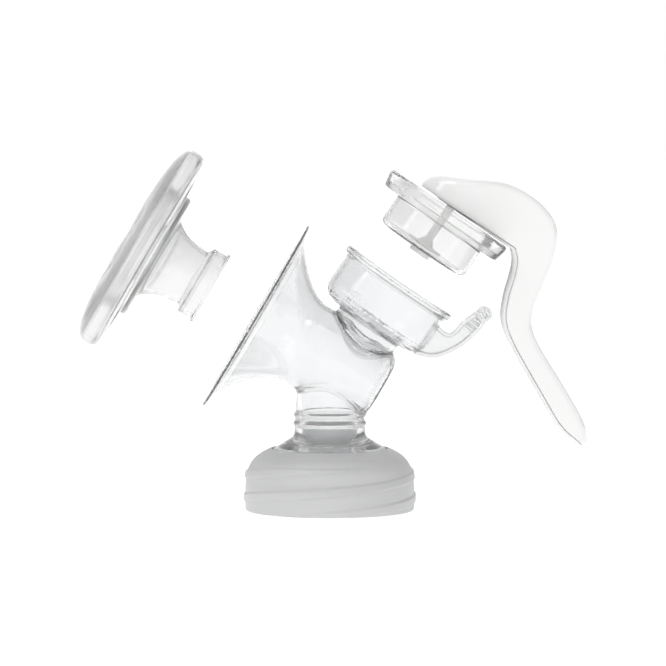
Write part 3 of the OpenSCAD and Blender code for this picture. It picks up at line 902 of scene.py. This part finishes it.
class PUMP_OT_handle(bpy.types.Operator):
    """Sculpt the glossy handle: an outer shell, and a frame with ribs, pin slots and the stem's fork"""
    bl_idname = "breast_pump.handle"
    bl_label = "Handle"

    def execute(self, context):
        sizes = context.scene.breast_pump.handle
        wall, liner, dome = sizes.wall / MM, sizes.liner / MM, sizes.dome_radius / MM
        side, plan = handle_fields(sizes)
        seal_top = context.scene.breast_pump.diaphragm.ring_height / MM - SEAL_GRIP - PIVOT_RISE
        rib_in, rib_out = ARM_WIDTH / 2 + GAP, ARM_WIDTH / 2 + GAP + RIB_THICKNESS

        def body(points):
            out, across, up = pin.local(points)
            return meet(side(out, up), plan(out, across), EDGE_ROUND), out, across, up

        def shell(points):
            full, out, across, up = body(points)
            outer = meet(full, side(out, up, liner) + 0.02, SEAM)
            room = meet(side(out, up, -1.5), plan(out, across), EDGE_ROUND) + wall
            room = np.maximum(room, out - HOLLOW_END)
            below = np.maximum(plan(out, across) + wall, np.abs(up - UNDER) - 3.0)
            below = np.maximum(below, out + 7)
            return carve(outer, join(room, below), 0.25)

        def inner_frame(points):
            full, out, across, up = body(points)
            wide = np.abs(across)
            strip = meet(full, 0.02 - side(out, up, liner), SEAM)
            window = np.maximum(wide - rib_out - 0.8, np.maximum(WINDOW_END - up, out - 14))
            strip = carve(strip, window, 0.5)
            rib = np.maximum(rib_in - wide, wide - rib_out)
            rib = np.maximum(rib, np.maximum(side(out, up) + wall + 0.05, RIB_END - up))
            rib = np.maximum(rib, -PIVOT_REACH + dome - 4 - out)
            slot = np.where(up > 0, np.hypot(out, up), np.abs(out)) - PIN_RADIUS - SLOT_SLACK
            rib = carve(rib, slot, 0.2)
            web = np.maximum(seal_top + 0.9 - up, up - seal_top - 2.4)
            web = np.maximum(web, np.maximum(-14 - out, out + 4.4))
            web = np.maximum(web, np.maximum(rib_in - wide, wide - 8.3))
            plate = np.maximum(np.maximum(seal_top + 1.0 - up, up - seal_top - 2.4),
                               np.hypot(out + PIVOT_REACH, across) - dome + wall + 1)
            notch = np.where(out > -PIVOT_REACH, np.hypot(out + PIVOT_REACH, across), wide) - 2.1
            return join(join(strip, join(rib, web, 0.3), 0.3), carve(plate, notch, 0.2), 0.3)

        material = gloss_plastic("handle_plastic", sizes.colour)
        grain = sizes.grain / MM
        low, high = (-50, -17, -52), (62, 17, 20)
        outer = sculpt("lever_shell", shell, low, high, grain, pin)
        dress(outer, material, "handle", "handle_plastic", "handle_shell")
        inner = sculpt("lever_frame", inner_frame, low, high, grain, pin)
        dress(inner, material, "handle", "handle_plastic", "handle_frame")
        return {"FINISHED"}


# ---------------------------------------------------------------------------
# Stage
# ---------------------------------------------------------------------------

VIEW_CENTRE = Vector((0.0012, 0.0, 0.0656))
VIEW_WIDTH = 0.2461
VIEW_DISTANCE = 1.6
VIEW_RISE = 3.5


class PUMP_OT_stage(bpy.types.Operator):
    """Set the pale floor, the soft light and the camera"""
    bl_idname = "breast_pump.stage"
    bl_label = "Stage"

    def execute(self, context):
        scene = context.scene
        self.floor(scene)
        self.light(scene)
        self.sky(scene)
        self.camera(scene)
        scene.view_settings.view_transform = "Standard"
        scene.cycles.max_bounces = 32
        scene.cycles.transmission_bounces = 32
        scene.cycles.transparent_max_bounces = 16
        return {"FINISHED"}

    def floor(self, scene):
        mesh = bpy.data.meshes.new("floor")
        steps, size = 96, 6.0
        turns = np.linspace(0, 2 * math.pi, steps, endpoint=False)
        rim = [(size * math.cos(a), size * math.sin(a), 0) for a in turns]
        mesh.from_pydata(rim, [], [tuple(range(steps))])
        floor = bpy.data.objects.new("floor", mesh)
        floor.location.z = -0.0002
        scene.collection.objects.link(floor)
        material = bpy.data.materials.new("pale_floor")
        material.use_nodes = True
        shader = material.node_tree.nodes["Principled BSDF"]
        shader.inputs["Base Color"].default_value = (0.5, 0.5, 0.5, 1)
        shader.inputs["Roughness"].default_value = 0.7
        shader.inputs["Specular IOR Level"].default_value = 0.0
        shader.inputs["Emission Color"].default_value = (1, 1, 1, 1)
        shader.inputs["Emission Strength"].default_value = 0.82
        mesh.materials.append(material)

    def light(self, scene):
        for name, place, size, power in (
                ("key", (-0.55, -0.45, 0.75), 0.45, 1.9), ("side", (0.8, -0.3, 0.4), 0.25, 0.5)):
            lamp = bpy.data.lights.new(name, "AREA")
            lamp.size = size
            lamp.energy = power
            light = bpy.data.objects.new(name, lamp)
            light.location = place
            light.rotation_euler = (VIEW_CENTRE - Vector(place)).to_track_quat("-Z", "Y").to_euler()
            scene.collection.objects.link(light)

    def sky(self, scene):
        world = bpy.data.worlds.new("studio")
        scene.world = world
        world.use_nodes = True
        nodes, links = world.node_tree.nodes, world.node_tree.links
        place = nodes.new("ShaderNodeTexCoord")
        parts = nodes.new("ShaderNodeSeparateXYZ")
        links.new(place.outputs["Generated"], parts.inputs["Vector"])
        path = nodes.new("ShaderNodeLightPath")
        ramp = nodes.new("ShaderNodeValToRGB")
        stops = ramp.color_ramp.elements
        for at in (0.45, 0.55):
            stops.new(at)
        for stop, at, value in zip(stops, (0.1, 0.45, 0.55, 0.88), (0.62, 1.0, 1.0, 0.34)):
            stop.position = at
            stop.color = (value, value, value, 1)
        side = nodes.new("ShaderNodeMath")
        side.operation = "MULTIPLY_ADD"
        side.inputs[1].default_value = 0.5
        side.inputs[2].default_value = 0.5
        links.new(parts.outputs["X"], side.inputs[0])
        links.new(side.outputs["Value"], ramp.inputs["Fac"])
        mix = nodes.new("ShaderNodeMix")
        mix.data_type = "RGBA"
        links.new(path.outputs["Is Camera Ray"], mix.inputs["Factor"])
        links.new(ramp.outputs["Color"], mix.inputs["A"])
        mix.inputs["B"].default_value = (1, 1, 1, 1)
        links.new(mix.outputs["Result"], nodes["Background"].inputs["Color"])

    def camera(self, scene):
        lens = bpy.data.cameras.new("camera")
        lens.sensor_width = 36
        lens.lens = 36 * VIEW_DISTANCE / VIEW_WIDTH
        lens.clip_start, lens.clip_end = 0.05, 40
        camera = bpy.data.objects.new("camera", lens)
        rise = math.radians(VIEW_RISE)
        camera.location = VIEW_CENTRE + Vector((0, -math.cos(rise), math.sin(rise))) * VIEW_DISTANCE
        camera.rotation_euler = (math.radians(90) - rise, 0, 0)
        scene.collection.objects.link(camera)
        scene.camera = camera


# ---------------------------------------------------------------------------
# Panel and run
# ---------------------------------------------------------------------------

OPERATORS = (
    PUMP_OT_stage, PUMP_OT_ring, PUMP_OT_valve, PUMP_OT_cushion, PUMP_OT_diaphragm, PUMP_OT_stem,
    PUMP_OT_handle, PUMP_OT_body)


class PUMP_PT_panel(bpy.types.Panel):
    """Sizes and steps of the breast pump"""
    bl_idname = "PUMP_PT_panel"
    bl_label = "Breast Pump"
    bl_space_type = "VIEW_3D"
    bl_region_type = "UI"
    bl_category = "Breast Pump"

    def draw(self, context):
        settings = context.scene.breast_pump
        for group in ("body", "ring", "cushion", "diaphragm", "handle"):
            box = self.layout.box()
            box.label(text=group.title())
            sizes = getattr(settings, group)
            for name in sizes.__annotations__:
                box.prop(sizes, name)
        for operator in OPERATORS:
            self.layout.operator(operator.bl_idname)


CLASSES = (
    BodySizes, RingSizes, CushionSizes, DiaphragmSizes, HandleSizes, PumpSettings, *OPERATORS, PUMP_PT_panel)


def register():
    for cls in CLASSES:
        bpy.utils.register_class(cls)
    bpy.types.Scene.breast_pump = bpy.props.PointerProperty(type=PumpSettings)


def unregister():
    del bpy.types.Scene.breast_pump
    for cls in reversed(CLASSES):
        bpy.utils.unregister_class(cls)


def main():
    register()
    for operator in OPERATORS:
        group, action = operator.bl_idname.split(".")
        getattr(getattr(bpy.ops, group), action)()


if __name__ == "__main__":
    main()
